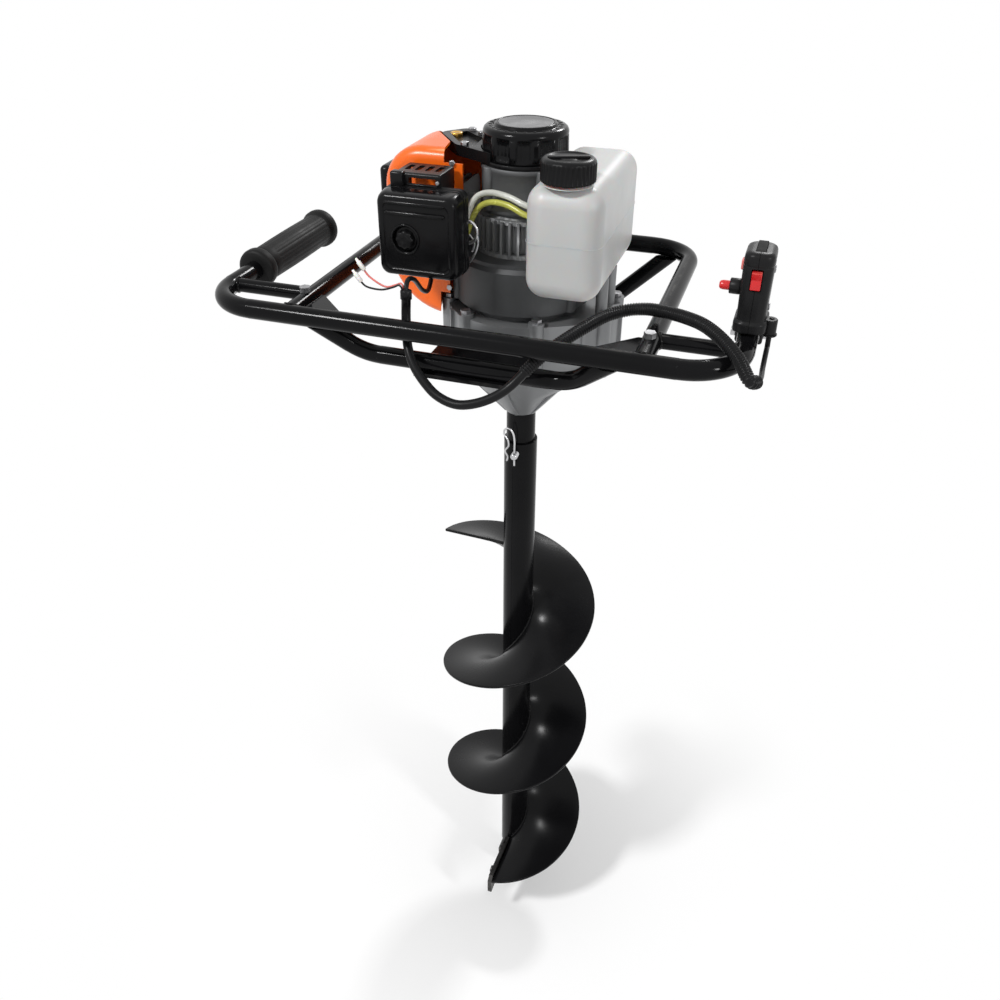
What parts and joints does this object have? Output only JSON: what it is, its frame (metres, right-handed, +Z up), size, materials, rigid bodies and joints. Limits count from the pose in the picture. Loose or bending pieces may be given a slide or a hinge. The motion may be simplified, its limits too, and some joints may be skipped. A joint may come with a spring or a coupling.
{
  "type": "earth auger",
  "caption": "Hand-held petrol earth auger: an engine and gearbox on a tubular carrying frame, turning a soil bit with a helical flight, a bolted cutting blade and a drill point.",
  "frame": {"origin": "tip of the drill point, on the drive axis", "axes": "+Z up the drive axis, +Y from the front rail to the rear, +X towards the throttle handle"},
  "size_m": [0.5355, 0.3299, 1.146],
  "materials": {
    "frame_black": "gloss black paint",
    "bit_black": "gloss black paint, worn at the edges",
    "shaft_steel": "turned steel",
    "rubber": "matt black rubber",
    "bright_steel": "zinc-plated steel",
    "black_plastic": "moulded black nylon",
    "red_plastic": "moulded red plastic",
    "lead_white": "white sleeve and braid",
    "cast_alloy": "fine cast alloy",
    "orange_plastic": "moulded orange plastic",
    "foam": "open-cell foam",
    "silencer_steel": "heat-stained steel",
    "tank_plastic": "translucent white polyethylene",
    "hose": "clear yellow-green fuel hose"
  },
  "bodies": {
    "powerhead_and_frame": {"handlebar_tube": "frame_black", "rear_hoop": "frame_black", "side_braces": "frame_black", "front_bow": "frame_black", "rear_bow": "frame_black", "gusset_plates": "frame_black", "mount_brackets": "frame_black", "rubber_mounts": "rubber", "frame_bolts": "bright_steel", "left_grip": "rubber", "handle_shell": "black_plastic", "handle_cover": "black_plastic", "clamp_bolt": "bright_steel", "cable_loom": "rubber", "throttle_cable": "rubber", "stop_leads": "lead_white", "starter_cover": "black_plastic", "starter_bracket": "black_plastic", "starter_rope": "lead_white", "crankcase": "cast_alloy", "bearings": "bright_steel", "engine_block": "cast_alloy", "cylinder_cover": "orange_plastic", "spark_plug": "bright_steel", "plug_cap": "rubber", "ignition_coil": "black_plastic", "carburettor": "cast_alloy", "filter_base": "black_plastic", "filter_cover": "black_plastic", "filter_element": "foam", "muffler": "silencer_steel", "muffler_guard": "silencer_steel", "fan_housing": "cast_alloy", "fuel_tank": "tank_plastic", "fuel_hoses": "hose", "gearbox_case": "cast_alloy", "gearbox_cover": "cast_alloy", "gearbox_bolts": "bright_steel"},
    "bit": {"output_shaft": "shaft_steel", "auger_tube": "bit_black", "auger_flight": "bit_black", "cutting_blade": "bit_black", "drill_point": "bit_black", "coupling_pin": "bright_steel"},
    "layshaft": {"layshaft": "shaft_steel"},
    "drum": {"clutch_drum": "shaft_steel"},
    "crank": {"crankshaft": "shaft_steel", "flywheel_fan": "cast_alloy", "clutch_shoes": "shaft_steel"},
    "pulley": {"starter_pulley": "black_plastic"},
    "pull_grip": {"starter_grip": "black_plastic"},
    "seal": {"cap_seal": "rubber"},
    "cap": {"fuel_cap": "black_plastic"},
    "trigger": {"throttle_trigger": "black_plastic"},
    "lockout": {"lockout_lever": "black_plastic"},
    "stop_rocker": {"stop_switch": "red_plastic"},
    "lock_button": {"lock_button": "red_plastic"},
    "choke": {"choke_lever": "black_plastic"},
    "primer": {"primer_bulb": "rubber"},
    "knob": {"filter_knob": "black_plastic"}
  },
  "joints": [
    {"name": "bit_spin", "type": "hinge", "parent": "powerhead_and_frame", "child": "bit", "pos_m": [0, 0, 0.8], "axis": [0, 0, 1], "continuous": true},
    {"name": "layshaft_spin", "type": "hinge", "parent": "powerhead_and_frame", "child": "layshaft", "pos_m": [0.051, 0, 0.938], "axis": [0, 0, 1], "continuous": true},
    {"name": "drum_spin", "type": "hinge", "parent": "powerhead_and_frame", "child": "drum", "pos_m": [0, 0, 0.968], "axis": [0, 0, 1], "continuous": true},
    {"name": "crank_spin", "type": "hinge", "parent": "powerhead_and_frame", "child": "crank", "pos_m": [0, 0, 1.027], "axis": [0, 0, 1], "continuous": true},
    {"name": "starter_pull", "type": "slide", "parent": "powerhead_and_frame", "child": "pull_grip", "axis": [0, 1, 0], "range_m": [0, 0.7], "stiffness_N_per_m": 12, "springref_m": -0.6, "deforming": ["starter_rope"]},
    {"name": "pulley_spin", "type": "hinge", "parent": "powerhead_and_frame", "child": "pulley", "pos_m": [0, 0, 1.122], "axis": [0, 0, -1], "range_deg": [-2, 1560]},
    {"name": "cap_lift", "type": "slide", "parent": "powerhead_and_frame", "child": "seal", "axis": [0, 0, 1], "range_m": [0, 0.008]},
    {"name": "cap_turn", "type": "hinge", "parent": "seal", "child": "cap", "pos_m": [0.0645, -0.083, 1.1265], "axis": [0, 0, 1], "range_deg": [-2, 722]},
    {"name": "trigger_squeeze", "type": "hinge", "parent": "powerhead_and_frame", "child": "trigger", "pos_m": [0.24, -0.112, 1.079], "axis": [-1, 0, 0], "range_deg": [0, 12], "stiffness_Nm_per_rad": 0.6, "springref_deg": -8.59},
    {"name": "lockout_press", "type": "hinge", "parent": "powerhead_and_frame", "child": "lockout", "pos_m": [0.24, -0.134, 1.084], "axis": [-1, 0, 0], "range_deg": [0, 8], "stiffness_Nm_per_rad": 0.3, "springref_deg": -8.59},
    {"name": "stop_rock", "type": "hinge", "parent": "powerhead_and_frame", "child": "stop_rocker", "pos_m": [0.24, -0.137, 1.066], "axis": [-1, 0, 0], "range_deg": [0, 12]},
    {"name": "lock_button_press", "type": "slide", "parent": "powerhead_and_frame", "child": "lock_button", "axis": [1, 0, 0], "range_m": [0, 0.004], "stiffness_N_per_m": 400, "springref_m": -0.003},
    {"name": "choke_turn", "type": "hinge", "parent": "powerhead_and_frame", "child": "choke", "pos_m": [-0.075, -0.066, 1.072], "axis": [0, 0, -1], "range_deg": [0, 45]},
    {"name": "primer_press", "type": "slide", "parent": "powerhead_and_frame", "child": "primer", "axis": [0, 0, 1], "range_m": [0, 0.003], "stiffness_N_per_m": 400, "springref_m": -0.003},
    {"name": "filter_knob_turn", "type": "hinge", "parent": "powerhead_and_frame", "child": "knob", "pos_m": [-0.083, -0.118, 1.057], "axis": [0, -1, 0], "range_deg": [0, 720]}
  ],
  "couplings": [
    {"joint": "layshaft_spin", "follows": "bit_spin", "ratio": -4.1},
    {"joint": "drum_spin", "follows": "bit_spin", "ratio": 23.78},
    {"joint": "pulley_spin", "follows": "starter_pull", "rad_per_m": 38.462},
    {"joint": "cap_turn", "follows": "cap_lift", "rad_per_m": 1570.8}
  ]
}
